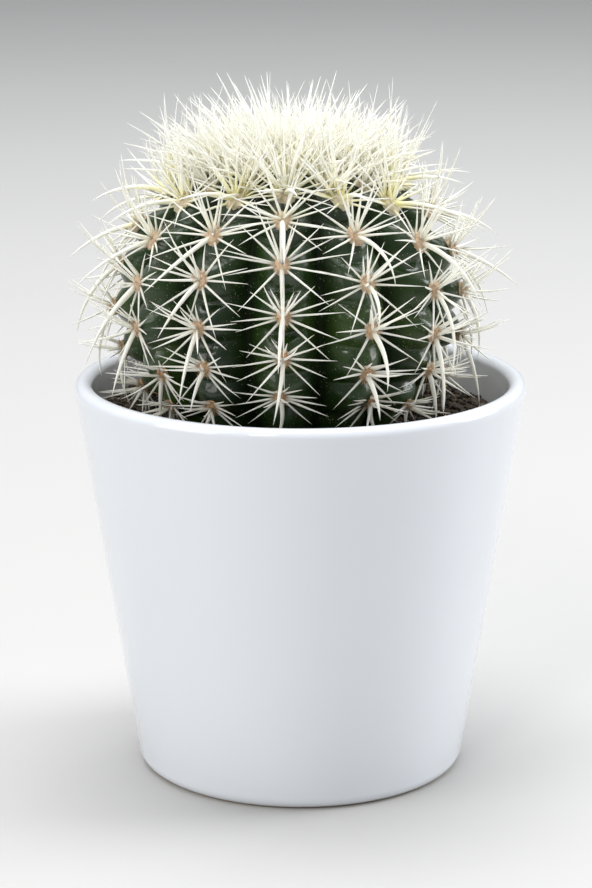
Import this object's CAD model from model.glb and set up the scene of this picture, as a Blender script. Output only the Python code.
"""A round ribbed cactus in a white glazed pot. Fine skin, wool, spines, potting mix and glaze stand here for
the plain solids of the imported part. Metres, +Z up, the front of the plant faces -Y."""

from bisect import bisect_left
from math import atan2, cos, hypot, pi, radians, sin, sqrt
from random import Random

import bmesh
import bpy
from mathutils import Matrix, Vector, noise


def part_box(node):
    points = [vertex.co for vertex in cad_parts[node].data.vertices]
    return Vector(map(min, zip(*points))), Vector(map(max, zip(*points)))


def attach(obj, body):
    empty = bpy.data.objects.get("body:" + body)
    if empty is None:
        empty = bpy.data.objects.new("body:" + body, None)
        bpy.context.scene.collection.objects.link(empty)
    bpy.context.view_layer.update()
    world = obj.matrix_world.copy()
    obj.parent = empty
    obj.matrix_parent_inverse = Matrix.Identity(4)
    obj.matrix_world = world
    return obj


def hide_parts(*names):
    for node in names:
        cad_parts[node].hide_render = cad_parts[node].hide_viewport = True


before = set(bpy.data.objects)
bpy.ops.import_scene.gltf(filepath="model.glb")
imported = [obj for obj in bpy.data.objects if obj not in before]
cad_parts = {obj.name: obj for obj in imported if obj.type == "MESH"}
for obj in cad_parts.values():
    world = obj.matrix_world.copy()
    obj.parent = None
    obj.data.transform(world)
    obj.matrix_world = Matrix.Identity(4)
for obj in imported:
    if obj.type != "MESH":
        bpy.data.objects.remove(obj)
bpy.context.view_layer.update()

# The pot, as packed.
POT_LOW, POT_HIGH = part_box("pot")
POT_HEIGHT = POT_HIGH[2]
RIM_RADIUS = (POT_HIGH[1] - POT_LOW[1]) / 2
BASE_RADIUS = 0.051
WALL = 0.0055
FLOOR = 0.007
FOOT_ROUND = 0.0042
RIM_LEVEL = POT_HEIGHT - WALL / 2
POT_SIDES = 192

# The potting mix.
SOIL_LEVEL = POT_HEIGHT - 0.0105
SOIL_SIDES = 208
SOIL_RINGS = 26
SOIL_EDGE = 0.0625
SOIL_TILT = 0.0026
SOIL_LUMPS = ((55, 0.0011), (190, 0.0007), (520, 0.0003))
CRUMBS = 2300
GRIT = 420
FALLEN_SPINES = 16

# The stem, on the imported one's outline.
STEM_RADIUS = 0.0535
STEM_DROP = 0.0478
STEM_RISE = 0.0434
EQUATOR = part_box("stem")[0][2] + STEM_DROP
STEM_OFF_CENTRE = -0.0035
SHOULDER_SQUARENESS = 2.3
TIP_DIP = 0.003
TIP_DIP_RADIUS = 0.014
RIB_COUNT = 13
RIB_DEPTH = 0.0105
RIB_ROUNDNESS = 1.7
FRONT_RIB_TURN = radians(-1.7)
NOTCH_DEPTH = 0.0056
SIDES_PER_RIB = 24
STEM_RINGS = 150
CREST_STEPS = 3000

# The areoles, down each rib from the crown to the soil.
AREOLES_PER_RIB = 6
CROWN_RADIUS = 0.0245
CROWN_TO_AREOLE = 0.0103
AREOLE_TO_SOIL = 0.0105
ROW_SHIFTS = (-0.0050, 0.0006, 0.0039, -0.0028, 0.0024, -0.0014, 0.0034, -0.0026, 0.0012, -0.0036, 0.0028,
              0.0036, 0.0)
# Where single areoles sit out of line, by rib and areole: how far to the side and how far down.
NUDGES = {
    (0, 1): (-0.0006, -0.0015), (0, 2): (-0.0006, -0.0006), (0, 3): (0.0, 0.0010), (0, 5): (-0.0010, -0.0007),
    (1, 0): (0.0010, -0.0016), (1, 1): (0.0, -0.0011), (1, 2): (0.0003, 0.0004), (1, 3): (0.0009, 0.0006),
    (1, 4): (0.0003, 0.0006), (1, 5): (0.0050, -0.0020), (2, 1): (0.0006, 0.0009), (2, 2): (0.0012, 0.0024),
    (2, 3): (0.0004, 0.0022), (2, 4): (0.0010, 0.0), (11, 1): (-0.0015, 0.0010), (11, 2): (-0.0016, 0.0013),
    (11, 3): (-0.0010, 0.0010), (11, 4): (0.0048, 0.0018), (11, 5): (0.0016, 0.0012),
    (12, 0): (0.0006, -0.0012), (12, 2): (-0.0005, 0.0003), (12, 3): (-0.0003, 0.0009),
    (12, 4): (0.0009, -0.0005),
}
PLACES = ("upper", "middle", "lower")

# Spines: (angle round the areole, with 0 to the right and 90 up; angle off the skin; share of the length).
# A fourth number is how likely an areole is to have that spine.
RADIAL_LENGTH = 0.0178
RADIAL_WIDTH = 0.00076
CENTRAL_WIDTH = 0.0015
HAIR_WIDTH = 0.00016
RADIALS = ((2, 17, 1.02), (18, 20, 0.98), (40, 28, 0.9), (69, 46, 0.66), (113, 46, 0.66), (141, 28, 0.9),
           (163, 19, 1.0), (180, 16, 1.03), (228, 14, 1.0), (315, 14, 1.0), (341, 14, 1.0))
SPARE_RADIALS = ((197, 14, 1.0, 0.55), (272, 12, 0.6, 0.35), (92, 50, 0.6, 0.3))
STANDING = ((52, 58, 1.14, 1.0), (128, 56, 1.17, 1.0), (90, 66, 1.05, 0.5), (212, 52, 1.1, 0.45),
            (326, 52, 1.1, 0.45))
UP = Vector((0, 0, 1))

# For the areoles down a rib: the age of the wool, half its width, how well the spines grow, how much longer
# the upward ones are, and the long central spine's angle off the skin.
WOOL_AGES = (0.08, 0.3, 0.45, 0.6, 0.8, 0.95)
WOOL_WIDTHS = (0.0029, 0.0025, 0.0023, 0.0021, 0.0020, 0.0019)
VIGOUR = (1.0, 1.03, 1.0, 0.92, 0.80, 0.72)
UPWARD_GAIN = (0.34, 0.16, 0.05, 0.0, 0.0, 0.0)
CENTRAL_LIFTS = (50, 46, 42, 38, 34, 26)
WOOL_HAIRS = 60
SPARE_UPRIGHTS = 9


# Finishes.

class Value:
    """A socket of a finish's node tree that can be used in sums."""

    def __init__(self, finish, socket):
        self.finish = finish
        self.socket = socket

    def math(self, operation, *others):
        return self.finish.node("ShaderNodeMath", {"operation": operation}, dict(enumerate(others)))

    def __add__(self, other):
        return self.math("ADD", self, other)

    __radd__ = __add__

    def __sub__(self, other):
        return self.math("SUBTRACT", self, other)

    def __rsub__(self, other):
        return self.math("SUBTRACT", other, self)

    def __mul__(self, other):
        return self.math("MULTIPLY", self, other)

    __rmul__ = __mul__

    def __gt__(self, other):
        return self.math("GREATER_THAN", self, other)

    def between(self, low, high):
        """Rises smoothly from 0 at low to 1 at high, or falls where low is the larger."""
        return self.finish.node("ShaderNodeMapRange", {"interpolation_type": "SMOOTHSTEP"},
                                {"Value": self, "From Min": low, "From Max": high})


class Finish:
    """A material on the Principled shader."""

    def __init__(self, name, **constants):
        self.material = bpy.data.materials.new(name)
        self.material.use_nodes = True
        self.tree = self.material.node_tree
        self.shader = self.tree.nodes["Principled BSDF"]
        for key, value in constants.items():
            self.shader.inputs[key.replace("_", " ")].default_value = value

    def node(self, kind, settings=None, inputs=None, output=0):
        made = self.tree.nodes.new(kind)
        for key, value in (settings or {}).items():
            setattr(made, key, value)
        self.fill(made, inputs or {})
        return Value(self, made.outputs[output])

    def fill(self, node, inputs):
        for key, value in inputs.items():
            if isinstance(value, Value):
                self.tree.links.new(value.socket, node.inputs[key])
            else:
                node.inputs[key].default_value = value

    def place(self):
        return self.node("ShaderNodeTexCoord", output="Object")

    def height(self):
        return self.node("ShaderNodeSeparateXYZ", {}, {0: self.place()}, output="Z")

    def attribute(self, name):
        return self.node("ShaderNodeAttribute", {"attribute_name": name}, output="Fac")

    def noise(self, scale, detail=3.0, roughness=0.5, stretch=(1, 1, 1)):
        place = self.node("ShaderNodeMapping", {}, {"Vector": self.place(), "Scale": stretch})
        return self.node("ShaderNodeTexNoise", {}, {"Vector": place, "Scale": scale, "Detail": detail,
                                                    "Roughness": roughness})

    def cells(self, scale):
        return self.node("ShaderNodeTexVoronoi", {}, {"Vector": self.place(), "Scale": scale})

    def mix(self, share, first, second):
        """A colour part of the way from the first to the second."""
        made = self.tree.nodes.new("ShaderNodeMix")
        made.data_type = "RGBA"
        sockets = {"Factor": made.inputs[0], "A": made.inputs[6], "B": made.inputs[7]}
        for key, value in {"Factor": share, "A": first, "B": second}.items():
            if isinstance(value, Value):
                self.tree.links.new(value.socket, sockets[key])
            else:
                sockets[key].default_value = value if key == "Factor" else (*value, 1.0)
        return Value(self, made.outputs[2])

    def bump(self, height, strength, distance, under=None):
        inputs = {"Height": height, "Strength": strength, "Distance": distance}
        if under:
            inputs["Normal"] = under
        return self.node("ShaderNodeBump", {}, inputs)

    def wear(self, **looks):
        """Joins the surface's looks to the shader and gives the finished material."""
        self.fill(self.shader, {key.replace("_", " "): value for key, value in looks.items()})
        return self.material


def glaze_finish():
    """Thick white glaze, a little uneven, over a bare biscuit foot."""
    finish = Finish("white glaze", Coat_Weight=0.3, Coat_Roughness=0.04, IOR=1.5)
    drift = finish.noise(9.0, 2.0)
    pinholes = finish.cells(900.0).between(0.10, 0.02) * (finish.noise(60.0) > 0.62)
    white = finish.mix(drift, (0.735, 0.765, 0.815), (0.775, 0.80, 0.84))
    white = finish.mix(pinholes * 0.35, white, (0.42, 0.40, 0.38))
    bare = finish.height().between(0.0011, 0.0004)
    biscuit = finish.mix(finish.noise(700.0, 4.0), (0.60, 0.50, 0.40), (0.72, 0.63, 0.52))
    ripple = finish.bump(finish.noise(30.0, 2.0), 0.02, 0.001)
    grain = finish.bump(finish.noise(2200.0, 2.0) * bare, 0.5, 0.0002, ripple)
    return finish.wear(Base_Color=finish.mix(bare, white, biscuit),
                       Roughness=0.07 + 0.05 * finish.noise(25.0) + 0.7 * bare, Normal=grain)


def skin_finish():
    """Waxy dark green skin: darker down the furrows, greyer on the crests, with fine pale specks."""
    finish = Finish("cactus skin", Coat_Roughness=0.15, Specular_IOR_Level=0.15)
    off_crest = finish.attribute("off_crest")
    broad = finish.noise(34.0, 3.0)
    fresh = finish.noise(22.0, 3.0).between(0.44, 0.66) * finish.height().between(0.185, 0.125)
    green = finish.mix(broad.between(0.3, 0.7), (0.002, 0.012, 0.001), (0.013, 0.037, 0.004))
    green = finish.mix(fresh * 0.8, green, (0.034, 0.070, 0.003))
    mottle = finish.noise(150.0, 5.0, 0.65).between(0.45, 0.62)
    green = finish.mix(mottle * 0.5, green, (0.006, 0.020, 0.002))
    bloom = finish.noise(70.0, 4.0).between(0.42, 0.66) * off_crest.between(0.75, 0.10)
    green = finish.mix(bloom * 0.3, green, (0.055, 0.100, 0.055))
    green = finish.mix(off_crest.between(0.6, 1.0) * 0.85, green, (0.003, 0.006, 0.001))
    green = finish.mix(finish.attribute("notch").between(0.55, 1.0) * 0.35, green, (0.010, 0.020, 0.006))
    specks = finish.cells(1150.0).between(0.22, 0.10) * finish.noise(240.0).between(0.42, 0.58)
    green = finish.mix(specks * 0.8, green, (0.30, 0.34, 0.22))
    scars = finish.noise(110.0, 5.0, 0.65).between(0.70, 0.74) * finish.height().between(0.150, 0.120)
    green = finish.mix(scars * 0.6, green, (0.22, 0.17, 0.08))
    fine = finish.bump(finish.noise(900.0, 4.0), 0.35, 0.00025)
    pores = finish.bump(1 - finish.cells(1500.0), 0.12, 0.0002, fine)
    return finish.wear(Base_Color=green, Normal=pores, Coat_Weight=off_crest.between(0.85, 0.2) * 0.85,
                       Roughness=0.22 + 0.20 * finish.noise(120.0, 3.0) + 0.4 * off_crest * off_crest)


def wool_finish():
    """Short felt: cream where it is young, tan and then russet where it is old."""
    finish = Finish("areole wool", Sheen_Weight=0.5, Sheen_Roughness=0.5, Roughness=0.95)
    age = finish.attribute("age")
    tuft = finish.noise(1500.0, 4.0, 0.7)
    young = finish.mix(tuft, (0.78, 0.66, 0.42), (0.93, 0.88, 0.70))
    grown = finish.mix(tuft, (0.60, 0.37, 0.20), (0.88, 0.69, 0.48))
    old = finish.mix(tuft, (0.46, 0.23, 0.09), (0.78, 0.50, 0.26))
    felt = finish.mix(age.between(0.0, 0.4), young, grown)
    felt = finish.mix(age.between(0.4, 1.0), felt, old)
    heart = finish.noise(90.0, 2.0).between(0.56, 0.70) * age.between(0.05, 0.0)
    felt = finish.mix(heart * 0.75, felt, (0.86, 0.68, 0.14))
    return finish.wear(Base_Color=felt, Normal=finish.bump(tuft, 0.9, 0.0006))


def spine_finish():
    """Ivory spines, warm at the root, a little yellow while young, with fine growth rings."""
    finish = Finish("ivory spine", Subsurface_Weight=0.4, Subsurface_Scale=0.004,
                    Subsurface_Radius=(1.0, 0.9, 0.7))
    along = finish.attribute("along")
    age = finish.attribute("age")
    ivory = finish.mix(finish.noise(210.0, 2.0), (0.92, 0.88, 0.73), (0.97, 0.955, 0.85))
    ivory = finish.mix(age.between(0.45, 0.1) * 0.9, ivory, (0.985, 0.98, 0.90))
    young = age.between(0.42, 0.1) * along.between(0.7, 0.0)
    hearts = finish.noise(55.0, 2.0).between(0.42, 0.60)
    ivory = finish.mix(young * (0.5 + 0.45 * hearts), ivory, (0.985, 0.91, 0.42))
    ivory = finish.mix(along.between(0.09, 0.0) * 0.6, ivory, (0.78, 0.58, 0.36))
    ivory = finish.mix(along.between(0.94, 1.0) * 0.4, ivory, (0.74, 0.62, 0.42))
    rings = finish.noise(1.0, 2.0, 0.5, (900.0, 900.0, 2600.0))
    return finish.wear(Base_Color=ivory, Roughness=0.42 + 0.16 * finish.noise(500.0),
                       Normal=finish.bump(rings, 0.25, 0.0002))


def fallen_finish():
    finish = Finish("dry spine", Roughness=0.7)
    amber = finish.mix(finish.noise(240.0), (0.52, 0.33, 0.10), (0.78, 0.62, 0.30))
    return finish.wear(Base_Color=amber, Normal=finish.bump(finish.noise(1600.0), 0.4, 0.0003))


def mix_finish():
    """Damp, crumbly, nearly black-brown potting mix."""
    finish = Finish("potting mix", Roughness=0.95)
    grain = finish.noise(420.0, 5.0, 0.7)
    brown = finish.mix(grain, (0.016, 0.011, 0.007), (0.115, 0.082, 0.055))
    brown = finish.mix(finish.noise(150.0).between(0.55, 0.70) * 0.6, brown, (0.14, 0.085, 0.05))
    crumbs = finish.bump(grain, 1.0, 0.0011)
    return finish.wear(Base_Color=brown, Normal=finish.bump(finish.cells(640.0), 0.8, 0.0007, crumbs))


def crumb_finish(name, stops):
    """Loose grains, whose tone runs through a few colours from grain to grain."""
    finish = Finish(name, Roughness=0.92)
    tone = finish.attribute("tone")
    colour = stops[0][1]
    for (start, _), (end, stop_colour) in zip(stops, stops[1:]):
        colour = finish.mix(tone.between(start, end), colour, stop_colour)
    mottle = finish.noise(1300.0, 4.0, 0.6)
    colour = finish.mix(mottle.between(0.35, 0.75) * 0.55, colour, (0.012, 0.008, 0.005))
    return finish.wear(Base_Color=colour, Normal=finish.bump(mottle, 0.8, 0.0004))


def bark_finish():
    finish = Finish("root bark", Roughness=0.88)
    fibre = finish.noise(260.0, 4.0, 0.6, (1, 1, 0.3))
    brown = finish.mix(fibre, (0.17, 0.10, 0.05), (0.46, 0.33, 0.20))
    return finish.wear(Base_Color=brown, Normal=finish.bump(fibre, 0.8, 0.0006))


def floor_finish():
    finish = Finish("pale floor", Roughness=0.62)
    return finish.wear(Base_Color=finish.mix(finish.noise(3.0), (0.52, 0.515, 0.50), (0.545, 0.54, 0.525)))


# Making pieces.

def piece(name, bm, finish, slot, *nodes):
    """A shown object of the part, in the finish of one of the record's slots, standing for CAD nodes."""
    bmesh.ops.recalc_face_normals(bm, faces=bm.faces)
    mesh = bpy.data.meshes.new(name)
    bm.to_mesh(mesh)
    bm.free()
    mesh.materials.append(finish)
    mesh.shade_smooth()
    made = bpy.data.objects.new(name, mesh)
    bpy.context.scene.collection.objects.link(made)
    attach(made, "root")
    if nodes:
        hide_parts(*nodes)
    return made


def turned(profile, sides):
    """A bmesh turned about Z from (radius, height) points at the front that start and end on the axis."""
    bm = bmesh.new()
    points = [bm.verts.new((0.0, -radius, height)) for radius, height in profile]
    edges = [bm.edges.new(pair) for pair in zip(points, points[1:])]
    bmesh.ops.spin(bm, geom=points + edges, cent=(0, 0, 0), axis=(0, 0, 1), angle=2 * pi, steps=sides,
                   use_merge=True)
    bmesh.ops.remove_doubles(bm, verts=bm.verts, dist=1e-6)
    return bm


def arc(centre, radius, start, end, steps):
    angles = [radians(start + (end - start) * step / steps) for step in range(steps + 1)]
    return [(centre[0] + radius * cos(a), centre[1] + radius * sin(a)) for a in angles]


def straight(start, end, steps):
    """Points between two others, without the ends, close together near each end."""
    shares = [0.5 - 0.5 * cos(pi * step / steps) for step in range(1, steps)]
    return [(start[0] + (end[0] - start[0]) * s, start[1] + (end[1] - start[1]) * s) for s in shares]


def pot_inside(height):
    return BASE_RADIUS + (RIM_RADIUS - BASE_RADIUS) * height / RIM_LEVEL - WALL


def make_pot():
    """The outline turned: out over the foot, up the wall, over the lip, and down inside."""
    lip = WALL / 2
    foot_level = BASE_RADIUS + (RIM_RADIUS - BASE_RADIUS) * FOOT_ROUND / RIM_LEVEL
    foot = arc((foot_level - FOOT_ROUND, FOOT_ROUND), FOOT_ROUND, -90, 0, 10)
    rim = arc((RIM_RADIUS - lip, RIM_LEVEL), lip, 0, 180, 16)
    corner_level = FLOOR + FOOT_ROUND
    corner = arc((pot_inside(corner_level) - FOOT_ROUND, corner_level), FOOT_ROUND, 0, -90, 8)
    profile = [(0.0, 0.0), *straight((0.0, 0.0), foot[0], 5), *foot, *straight(foot[-1], rim[0], 14), *rim]
    profile += [*straight(rim[-1], corner[0], 14), *corner]
    profile += [*straight(corner[-1], (0.0, FLOOR), 5), (0.0, FLOOR)]
    piece("pot_body", turned(profile, POT_SIDES), glaze_finish(), "glazed_pot", "pot")


# The stem.

def crest(angle):
    """The (radius, height) of a rib's crest at a latitude, from -pi/2 underground to pi/2 at the tip."""
    power = 2 / SHOULDER_SQUARENESS if angle > 0 else 1.0
    radius = STEM_RADIUS * max(cos(angle), 0.0) ** power
    reach = STEM_RISE if angle > 0 else -STEM_DROP
    height = EQUATOR + reach * abs(sin(angle)) ** power
    dip = max(0.0, 1 - radius / TIP_DIP_RADIUS) ** 2
    return radius, height - (TIP_DIP * dip if angle > 0 else 0.0)


def walk_down_crest():
    """Points down a crest from the tip, each as (distance walked, radius, height)."""
    walked = 0.0
    before = crest(pi / 2)
    points = [(walked, *before)]
    for step in range(1, CREST_STEPS + 1):
        after = crest(pi / 2 - pi * step / CREST_STEPS)
        walked += hypot(after[0] - before[0], after[1] - before[1])
        points.append((walked, *after))
        before = after
    return points


CREST_WALK = walk_down_crest()
CREST_LENGTH = CREST_WALK[-1][0]


def crest_at(distance):
    """The (radius, height) of the point at a distance down a crest, and of the outward direction there."""
    index = min(max(bisect_left(CREST_WALK, (distance,)), 1), CREST_STEPS)
    before, radius_above, height_above = CREST_WALK[index - 1]
    after, radius, height = CREST_WALK[index]
    share = (distance - before) / (after - before)
    point = (radius_above + (radius - radius_above) * share, height_above + (height - height_above) * share)
    out = Vector((height_above - height, radius - radius_above)).normalized()
    return point, out


FIRST_AREOLE = next(p[0] for p in CREST_WALK if p[1] >= CROWN_RADIUS) + CROWN_TO_AREOLE
LAST_AREOLE = next(p[0] for p in CREST_WALK if p[0] > STEM_RISE and p[2] <= SOIL_LEVEL + AREOLE_TO_SOIL)
AREOLE_SPACING = (LAST_AREOLE - FIRST_AREOLE) / (AREOLES_PER_RIB - 1)


def furrow_share(height):
    """How deep the furrows are at a height: full at the equator, none at the tip and underground."""
    above = max(0.0, (height - EQUATOR) / STEM_RISE)
    below = max(0.0, (EQUATOR - height) / STEM_DROP)
    return max(0.0, 1 - above ** 4 - 0.75 * below ** 2)


def areole_distance(rib, index):
    return FIRST_AREOLE + ROW_SHIFTS[rib] + AREOLE_SPACING * index + NUDGES.get((rib, index), (0, 0))[1]


AREOLE_STOPS = [[areole_distance(rib, index) for index in range(-1, AREOLES_PER_RIB + 1)]
                for rib in range(RIB_COUNT)]
CHANCE = Random(5)
NOTCH_SHARES = [[CHANCE.uniform(0.55, 1.05) for _ in stops] for stops in AREOLE_STOPS]


def notch_share(rib, distance):
    """From 0 at an areole to 1 at the crease halfway to the next, none on the crown."""
    stops = AREOLE_STOPS[rib]
    above = min(max(bisect_left(stops, distance), 1), len(stops) - 1)
    share = (distance - stops[above - 1]) / (stops[above] - stops[above - 1])
    return NOTCH_SHARES[rib][above] * max(0.0, 1 - abs(2 * share - 1)) ** 2.2


def stem_surface(distance, around):
    """The point of the skin at a distance down from the tip and an angle round from the first rib.

    With it come how far it is off the crest and into a notch."""
    (radius, height), slope = crest_at(distance)
    ribs_round = RIB_COUNT * around / (2 * pi)
    rib = round(ribs_round) % RIB_COUNT
    off_crest = 2 * abs(ribs_round - round(ribs_round))
    notch = notch_share(rib, distance + 0.0022 * off_crest) * (1 - off_crest) ** 0.65
    depth = RIB_DEPTH * furrow_share(height) * off_crest ** RIB_ROUNDNESS * radius / STEM_RADIUS
    radial = Vector((sin(around), -cos(around), 0))
    skin = radial * (radius - depth) + UP * height
    sink = NOTCH_DEPTH * notch * min(1.0, 1.6 * furrow_share(height))
    sink -= noise.noise(skin * 75) * 0.0006 + noise.noise(skin * 210) * 0.00022
    sink *= min(1.0, radius / 0.006)
    return skin - (radial * slope[0] + UP * slope[1]) * sink, off_crest, notch


def stand_on_axis(bm):
    bmesh.ops.rotate(bm, verts=bm.verts, cent=(0, 0, 0), matrix=Matrix.Rotation(FRONT_RIB_TURN, 3, "Z"))
    bmesh.ops.translate(bm, verts=bm.verts, vec=(STEM_OFF_CENTRE, 0, 0))


def make_stem():
    bm = bmesh.new()
    off_layer = bm.verts.layers.float.new("off_crest")
    notch_layer = bm.verts.layers.float.new("notch")
    bmesh.ops.create_uvsphere(bm, u_segments=RIB_COUNT * SIDES_PER_RIB, v_segments=STEM_RINGS, radius=1)
    for vert in bm.verts:
        down = atan2(vert.co.xy.length, vert.co.z) / pi
        around = atan2(vert.co.x, -vert.co.y)
        vert.co, off_crest, notch = stem_surface(down * CREST_LENGTH, around)
        vert[off_layer] = off_crest
        vert[notch_layer] = notch
    stand_on_axis(bm)
    piece("stem_skin", bm, skin_finish(), "green_skin", "stem")


# Spines.

def needle_bmesh():
    """An empty bmesh for spines or wool, which know how far along a spine and how old each point is."""
    bm = bmesh.new()
    bm.verts.layers.float.new("along")
    bm.verts.layers.float.new("age")
    return bm


def spine_template(sides, joints):
    """A straight bar of radius 1 from 0 to 1 along Z, cut across at each joint."""
    bm = bmesh.new()
    bmesh.ops.create_cone(bm, cap_ends=True, segments=sides, radius1=1, radius2=1, depth=1,
                          matrix=Matrix.Translation((0, 0, 0.5)))
    for joint in range(1, joints):
        whole = bm.verts[:] + bm.edges[:] + bm.faces[:]
        bmesh.ops.bisect_plane(bm, geom=whole, plane_co=(0, 0, joint / joints), plane_no=(0, 0, 1))
    mesh = bpy.data.meshes.new("spine template")
    bm.to_mesh(mesh)
    bm.free()
    return mesh


def spine_point(base, direction, towards, bend, length, share):
    """A point part of the way along a spine that bends evenly, and its direction there."""
    angle = bend * share
    if abs(bend) < 1e-3:
        return base + direction * length * share, direction
    forward = sin(angle) / bend
    aside = (1 - cos(angle)) / bend
    heading = direction * cos(angle) + towards * sin(angle)
    return base + (direction * forward + towards * aside) * length, heading


def add_spine(bm, template, base, direction, towards, bend, length, width, age):
    """Adds one tapering spine, bending from its direction towards another."""
    towards = (towards - direction * towards.dot(direction)).normalized()
    across = direction.cross(towards)
    before = len(bm.verts)
    bm.from_mesh(template)
    bm.verts.ensure_lookup_table()
    along_layer = bm.verts.layers.float["along"]
    age_layer = bm.verts.layers.float["age"]
    for vert in bm.verts[before:]:
        share = vert.co.z
        point, heading = spine_point(base, direction, towards, bend, length, share)
        radius = width / 2 * (1 - 0.93 * share ** 1.9)
        vert.co = point + (across * vert.co.x + across.cross(heading) * vert.co.y) * radius
        vert[along_layer] = share
        vert[age_layer] = age


def areole_frame(rib, distance, aside=0.0):
    """A point of the skin on or beside a rib's crest, and the sideways, upward and outward directions."""
    (radius, _), slope = crest_at(distance)
    around = 2 * pi * rib / RIB_COUNT + aside / radius
    skin, _, _ = stem_surface(distance, around)
    point = Matrix.Rotation(FRONT_RIB_TURN, 3, "Z") @ skin + Vector((STEM_OFF_CENTRE, 0, 0))
    turn = Matrix.Rotation(FRONT_RIB_TURN + around, 3, "Z")
    side = turn @ Vector((1, 0, 0))
    out = turn @ Vector((0, -1, 0)) * slope[0] + UP * slope[1]
    return point, side, out.cross(side), out


def stays_clear(point):
    """Whether a point is clear of the soil, the pot's wall and its rim."""
    reach = point.xy.length
    over_rim = POT_HEIGHT + 0.0008
    if point.z < SOIL_LEVEL + 0.0010:
        return False
    return point.z > over_rim or reach < pot_inside(point.z) - 0.0012


def fitting_length(base, direction, towards, bend, length):
    """The longest share of a spine's length that stays clear of the pot and the soil."""
    towards = (towards - direction * towards.dot(direction)).normalized()
    for share in (1.0, 0.9, 0.8, 0.7, 0.6, 0.5, 0.42):
        ends = [spine_point(base, direction, towards, bend, length * share, t)[0] for t in (0.6, 0.8, 1.0)]
        if all(stays_clear(end) for end in ends):
            return length * share
    return length * 0.36


SIDE_TEMPLATE = spine_template(5, 6)
CENTRAL_TEMPLATE = spine_template(7, 9)
HAIR_TEMPLATE = spine_template(3, 3)

# The front ribs' long central spines, by rib and areole: the tip's offset from the areole in millimetres, the
# bend in degrees, and the direction they bend towards.
LONG_CENTRALS = {
    (0, 1): ((0.6, -18, -10), 26, (0, 0, -1)), (0, 2): ((0.6, -12, -26), 24, (0, 0, -1)),
    (0, 3): ((-1.4, -12, -13.6), 40, (0, 0, -1)), (0, 4): ((-2.9, -9, -17), 30, (-0.3, 0, -1)),
    (12, 1): ((-19.9, -10, -15), 10, (0, 0, -1)), (12, 2): ((-11.9, -12, -14.4), 20, (0, 0, -1)),
    (12, 3): ((-5.1, -10, -19.5), 26, (0, 0, -1)), (12, 4): ((-4.2, -9, -11.7), 28, (0, 0, -1)),
    (1, 1): ((11.5, -8, -13.3), 72, (-0.2, 0, -1)), (1, 2): ((2.7, -9, -12), 60, (-0.6, 0.2, -0.6)),
    (1, 3): ((4.2, -9, -15.8), 46, (-0.7, 0.2, -0.5)), (1, 4): ((3.7, -8, -11.6), 32, (-0.3, 0, -1)),
}


def add_wool(bm, point, side, up, out, size, age, rng):
    """Adds a domed pad of felt with short hairs; the size is its three half widths and the hairs' number."""
    offset = Vector((rng.uniform(0, 50), rng.uniform(0, 50), rng.uniform(0, 50)))
    age_layer = bm.verts.layers.float["age"]
    pad = bmesh.ops.create_icosphere(bm, subdivisions=4, radius=1)
    for vert in pad["verts"]:
        lumps = 1 + 0.22 * noise.noise(vert.co * 1.9 + offset) + 0.16 * noise.noise(vert.co * 6 + offset)
        place = vert.co * lumps
        vert.co = point + side * place.x * size[0] + up * place.y * size[1] + out * place.z * size[2]
        vert[age_layer] = age
    for _ in range(round(size[3])):
        angle = rng.uniform(0, 2 * pi)
        reach = sqrt(rng.random()) * 0.97
        across = side * cos(angle) + up * sin(angle)
        root = point + side * cos(angle) * size[0] * reach + up * sin(angle) * size[1] * reach
        root += out * size[2] * sqrt(1 - reach ** 2) * 0.9
        heading = out * rng.uniform(0.4, 1.0) + across * (0.2 + reach) + up * rng.uniform(-0.5, 0.5)
        curl = side * rng.uniform(-1, 1) + up * rng.uniform(-1, 1) - out * 0.3
        length = rng.uniform(0.0009, 0.0021)
        add_spine(bm, HAIR_TEMPLATE, root, heading.normalized(), curl, rng.uniform(0.3, 1.6), length,
                  HAIR_WIDTH, age)


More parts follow.
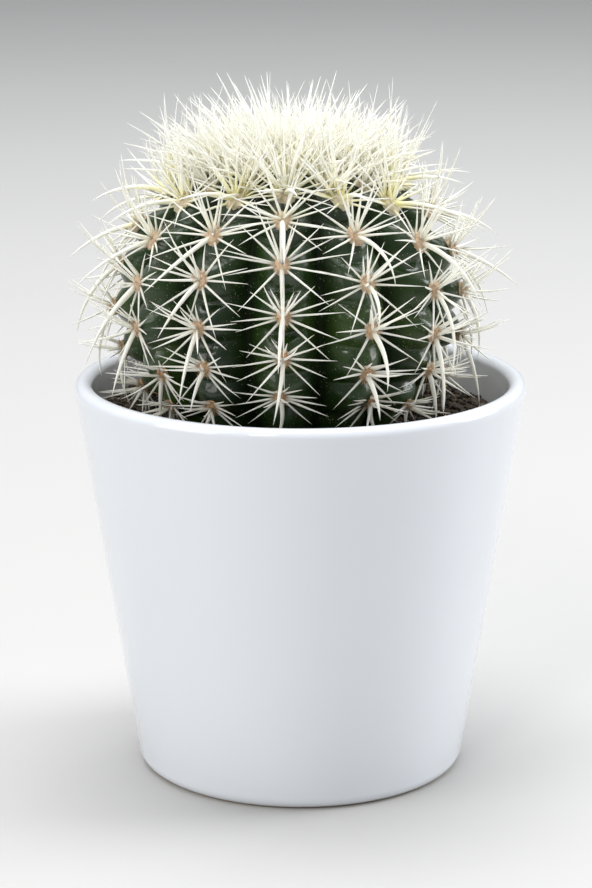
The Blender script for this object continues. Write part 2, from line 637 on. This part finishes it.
def add_areole(needles, wool, rib, index, rng):
    """Adds one areole's wool and its spines."""
    aside = NUDGES.get((rib, index), (0, 0))[0]
    point, side, up, out = areole_frame(rib, areole_distance(rib, index), aside)
    age = WOOL_AGES[index] + rng.uniform(-0.06, 0.06)
    width = WOOL_WIDTHS[index]
    pad = (width, width * 1.25, width * 0.7, WOOL_HAIRS)
    add_wool(wool, point - out * 0.0003, side, up, out, pad, age, rng)
    vigour = VIGOUR[index] * rng.uniform(0.94, 1.05)
    twist = rng.uniform(-7, 7)
    radials = [*RADIALS] + [spare[:3] for spare in SPARE_RADIALS if rng.random() < spare[3]]
    if index == 0:
        radials += [(rng.uniform(10, 170), rng.uniform(35, 75), rng.uniform(1.0, 1.3))
                    for _ in range(SPARE_UPRIGHTS)]
    for angle, rise, share in radials:
        turn = radians(angle + twist + rng.uniform(-6, 6))
        lift = radians(rise + rng.uniform(-4, 7))
        around = side * cos(turn) + up * sin(turn)
        heading = around * cos(lift) + out * sin(lift)
        root = point + side * cos(turn) * 0.0016 + up * sin(turn) * 0.0021 + out * 0.0002
        curl = up.cross(around) * rng.uniform(-1, 1) - out * 0.8
        bend = radians(rng.uniform(-3, 16))
        reach = 1 + max(0.0, sin(turn)) * UPWARD_GAIN[index]
        length = RADIAL_LENGTH * share * vigour * reach * rng.uniform(0.82, 1.10)
        length = fitting_length(root, heading, curl, bend, length)
        add_spine(needles, SIDE_TEMPLATE, root, heading, curl, bend, length,
                  RADIAL_WIDTH * rng.uniform(0.88, 1.12), age)
    for angle, rise, share, odds in STANDING:
        if rng.random() > odds:
            continue
        turn = radians(angle + rng.uniform(-9, 9))
        lift = radians(rise + rng.uniform(-7, 7))
        heading = (side * cos(turn) + up * sin(turn)) * cos(lift) + out * sin(lift)
        root = point + out * 0.0007
        length = RADIAL_LENGTH * share * vigour * rng.uniform(0.85, 1.1)
        bend = radians(rng.uniform(4, 22))
        length = fitting_length(root, heading, up, bend, length)
        add_spine(needles, SIDE_TEMPLATE, root, heading, up, bend, length, RADIAL_WIDTH * 1.2, age)
    add_long_central(needles, rib, index, (point, side, up, out), vigour, age, rng)


def add_long_central(needles, rib, index, frame_here, vigour, age, rng):
    """Adds an areole's longest spine, which stands out and curves down."""
    point, side, up, out = frame_here
    root = point + out * 0.0005 - up * 0.0004
    if (rib, index) in LONG_CENTRALS:
        tip, bend, towards = LONG_CENTRALS[rib, index]
        chord = Vector(tip) / 1000
        bend = radians(bend)
        towards = Vector(towards)
        towards = (towards - chord * towards.dot(chord) / chord.length_squared).normalized()
        heading = chord.normalized() * cos(bend / 2) - towards * sin(bend / 2)
        length = chord.length * (bend / 2) / sin(bend / 2)
    else:
        turn = radians(270 + rng.uniform(-22, 22))
        lift = radians(CENTRAL_LIFTS[index] + rng.uniform(-6, 6))
        heading = (side * cos(turn) + up * sin(turn)) * cos(lift) + out * sin(lift)
        towards = -UP + side * rng.uniform(-0.35, 0.35)
        bend = radians(rng.uniform(22, 58))
        length = rng.uniform(0.0225, 0.0285) * min(1.0, vigour + 0.05)
    length = fitting_length(root, heading, towards, bend, length)
    add_spine(needles, CENTRAL_TEMPLATE, root, heading, towards, bend, length,
              CENTRAL_WIDTH * rng.uniform(0.9, 1.12), age)


def make_rib_spines():
    ivory = spine_finish()
    felt = wool_finish()
    for rib in range(RIB_COUNT):
        for order, place in enumerate(PLACES):
            rng = Random(100 * rib + order)
            needles = needle_bmesh()
            wool = needle_bmesh()
            for index in (2 * order, 2 * order + 1):
                add_areole(needles, wool, rib, index, rng)
            node = f"rib_{rib + 1:02d}_{place}_spines"
            piece(f"rib_{rib + 1:02d}_{place}_needles", needles, ivory, "spine_and_wool", node)
            piece(f"rib_{rib + 1:02d}_{place}_wool", wool, felt, "spine_and_wool", node)
    make_crown(ivory, felt)


# The crown: young areoles close together on a felt dome. Each row has its distance from the tip, its spines'
# number and their share of the length.

CROWN_ROWS = ((0.0035, 8, 0.8), (0.0080, 10, 0.95), (0.0128, 12, 1.0), (0.0178, 13, 1.05), (0.0228, 13, 1.05),
              (0.0280, 12, 1.05))
CROWN_PAD = (0.0023, 0.0027, 0.0019, 26)
CROWN_LONG_WIDTH = CENTRAL_WIDTH * 0.78


def make_crown(ivory, felt):
    rng = Random(58)
    needles = needle_bmesh()
    wool = needle_bmesh()
    for rib in range(RIB_COUNT):
        for row, (distance, count, share) in enumerate(CROWN_ROWS):
            if row == 0 and rib % 2:
                continue
            down = distance + rng.uniform(-0.0012, 0.0012)
            point, side, up, out = areole_frame(rib, down)
            add_wool(wool, point - out * 0.0005, side, up, out, CROWN_PAD, 0.03 * row, rng)
            for index in range(count):
                turn = 2 * pi * (index + rng.random()) / count
                lift = radians(rng.uniform(22, 70))
                around = side * cos(turn) + up * sin(turn)
                heading = around * cos(lift) + out * sin(lift)
                heading = (heading + UP * 0.3).normalized()
                bend = radians(rng.uniform(0, 20))
                length = rng.uniform(0.0145, 0.0235) * share
                add_spine(needles, SIDE_TEMPLATE, point + around * 0.001, heading, around, bend, length,
                          RADIAL_WIDTH * rng.uniform(0.85, 1.1), 0.07 * row)
            for lean in (rng.uniform(28, 62), rng.uniform(56, 88)):
                lift = radians(lean)
                heading = -up * cos(lift) + out * sin(lift) + side * rng.uniform(-0.35, 0.35)
                length = rng.uniform(0.022, 0.0295)
                add_spine(needles, SIDE_TEMPLATE, point, heading.normalized(), -up,
                          radians(rng.uniform(2, 22)), length, CROWN_LONG_WIDTH, 0.07 * row)
    piece("crown_needles", needles, ivory, "spine_and_wool", "crown_spines")
    piece("crown_wool", wool, felt, "spine_and_wool", "crown_spines")


# The potting mix.

def stem_reach(x, y):
    """How far the stem reaches from its own axis at the soil, in the direction of a point."""
    angle = atan2(x - STEM_OFF_CENTRE, -y) - FRONT_RIB_TURN
    radius = STEM_RADIUS * sqrt(1 - ((EQUATOR - SOIL_LEVEL) / STEM_DROP) ** 2)
    ribs_round = RIB_COUNT * angle / (2 * pi)
    off_crest = 2 * abs(ribs_round - round(ribs_round))
    return radius * (1 - RIB_DEPTH * furrow_share(SOIL_LEVEL) * off_crest ** RIB_ROUNDNESS / STEM_RADIUS)


def soil_swell(place):
    """The height of the soil's surface over its level: lumpy, and lower towards the right-hand wall."""
    lumps = sum(noise.noise(place * size) * height for size, height in SOIL_LUMPS)
    return lumps - SOIL_TILT * max(0.0, place.x / SOIL_EDGE) ** 2


def make_soil():
    """The soil that fills the pot, with a hollow just under the stem."""
    gap = 0.0003
    under_stem = 0.001
    corner_level = FLOOR + FOOT_ROUND
    edge = pot_inside(SOIL_LEVEL) - gap
    seat = [crest(angle) for angle in (-1.0, -1.12, -1.24, -1.36, -1.48)]
    profile = [(0.0, FLOOR + gap), (pot_inside(corner_level) - FOOT_ROUND, FLOOR + gap),
               (pot_inside(corner_level) - gap, corner_level), (edge, SOIL_LEVEL)]
    inner = seat[0][0]
    profile += [(edge + (inner - edge) * ring / SOIL_RINGS, SOIL_LEVEL) for ring in range(1, SOIL_RINGS + 1)]
    profile += [(radius, height - under_stem) for radius, height in seat]
    profile += [(0.0, EQUATOR - STEM_DROP - under_stem)]
    bm = turned(profile, SOIL_SIDES)
    for vert in bm.verts:
        if vert.co.z > SOIL_LEVEL - 0.0001:
            vert.co.z += soil_swell(vert.co)
    piece("soil_bed", bm, mix_finish(), "potting_mix", "soil")


def scattered(rng):
    """A random place on the open soil, between the stem and the pot's wall."""
    while True:
        reach = sqrt(rng.uniform(0.031 ** 2, SOIL_EDGE ** 2))
        angle = rng.uniform(0, 2 * pi)
        place = Vector((reach * cos(angle), reach * sin(angle), SOIL_LEVEL))
        if hypot(place.x - STEM_OFF_CENTRE, place.y) - stem_reach(place.x, place.y) > 0.0004:
            return place


def make_grains(name, count, sizes, finish, seed):
    rng = Random(seed)
    bm = bmesh.new()
    tone_layer = bm.verts.layers.float.new("tone")
    for _ in range(count):
        place = scattered(rng)
        size = rng.uniform(*sizes) * rng.uniform(0.6, 1.0)
        place.z += soil_swell(place) + size * rng.uniform(0.0, 0.5)
        turn = Matrix.Rotation(rng.uniform(0, pi), 4,
                               Vector((rng.random(), rng.random(), rng.random() + 0.1)))
        shape = Matrix.Diagonal((size, size * rng.uniform(0.6, 1.0), size * rng.uniform(0.45, 0.9), 1))
        grain = bmesh.ops.create_icosphere(bm, subdivisions=1, radius=1,
                                           matrix=Matrix.Translation(place) @ turn @ shape)
        tone = rng.random()
        for vert in grain["verts"]:
            vert.co += (vert.co - place) * rng.uniform(-0.28, 0.28)
            vert[tone_layer] = tone
    piece(name, bm, finish, "potting_mix", "soil")


def make_fallen_spines():
    rng = Random(31)
    bm = needle_bmesh()
    for _ in range(FALLEN_SPINES):
        place = scattered(rng)
        place.z += soil_swell(place) + 0.0010
        angle = rng.uniform(0, 2 * pi)
        heading = Vector((cos(angle), sin(angle), 0))
        length = rng.uniform(0.006, 0.013)
        end = place + heading * length
        if end.xy.length > pot_inside(SOIL_LEVEL) - 0.001:
            heading = -heading
        add_spine(bm, SIDE_TEMPLATE, place, heading, UP, radians(rng.uniform(-8, 12)), length, 0.0008, 1.0)
    piece("fallen_needles", bm, fallen_finish(), "potting_mix", "soil")


def make_potting_mix():
    make_soil()
    crumbs = crumb_finish("soil crumbs", ((0.0, (0.018, 0.014, 0.009)), (0.45, (0.055, 0.041, 0.026)),
                                          (0.8, (0.095, 0.068, 0.040)), (1.0, (0.20, 0.13, 0.07))))
    grit = crumb_finish("soil grit", ((0.0, (0.10, 0.095, 0.085)), (0.5, (0.26, 0.24, 0.21)),
                                      (0.85, (0.46, 0.42, 0.34)), (1.0, (0.62, 0.50, 0.22))))
    make_grains("soil_crumbs", CRUMBS, (0.0005, 0.0014), crumbs, 11)
    make_grains("soil_grit", GRIT, (0.0004, 0.0011), grit, 12)
    make_fallen_spines()


# The studio.

def make_studio():
    bm = bmesh.new()
    bmesh.ops.create_circle(bm, cap_ends=True, segments=96, radius=14)
    mesh = bpy.data.meshes.new("pale_floor")
    bm.to_mesh(mesh)
    bm.free()
    mesh.materials.append(floor_finish())
    ground = bpy.data.objects.new("pale_floor", mesh)
    bpy.context.scene.collection.objects.link(ground)
    world = bpy.data.worlds.new("studio")
    world.use_nodes = True
    world.node_tree.nodes["Background"].inputs["Color"].default_value = (0.86, 0.89, 0.93, 1)
    world.node_tree.nodes["Background"].inputs["Strength"].default_value = 0.43
    bpy.context.scene.world = world


def add_softbox(name, place, size, power, colour):
    """A square light that faces the middle of the plant."""
    light = bpy.data.lights.new(name, "AREA")
    light.shape = "RECTANGLE"
    light.size = size[0]
    light.size_y = size[1]
    light.energy = power
    light.color = colour
    made = bpy.data.objects.new(name, light)
    made.location = place
    made.rotation_euler = (Vector((0, 0, 0.13)) - Vector(place)).to_track_quat("-Z", "Y").to_euler()
    bpy.context.scene.collection.objects.link(made)


def make_camera():
    camera = bpy.data.cameras.new("camera")
    camera.lens = 112.5
    camera.sensor_width = 36
    made = bpy.data.objects.new("camera", camera)
    made.location = (-0.0014, -0.840, 0.3184)
    made.rotation_euler = (radians(90 - 14.45), 0, 0)
    bpy.context.scene.collection.objects.link(made)
    bpy.context.scene.camera = made


make_pot()
make_stem()
make_rib_spines()
make_potting_mix()
for root_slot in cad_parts["roots"].material_slots:
    root_slot.material = bark_finish()
make_studio()
add_softbox("left softbox", (-1.90, -1.10, 1.15), (1.45, 1.8), 22.5, (1.0, 0.985, 0.96))
add_softbox("right softbox", (1.80, 0.36, 1.0), (0.95, 1.6), 28.0, (0.97, 0.985, 1.0))
add_softbox("overhead softbox", (-0.10, 0.30, 2.2), (1.7, 1.7), 54.0, (0.97, 0.98, 1.0))
add_softbox("window", (-0.75, -1.90, 1.75), (0.45, 0.6), 9.5, (1.0, 0.99, 0.97))
make_camera()
bpy.context.scene.view_settings.view_transform = "Standard"
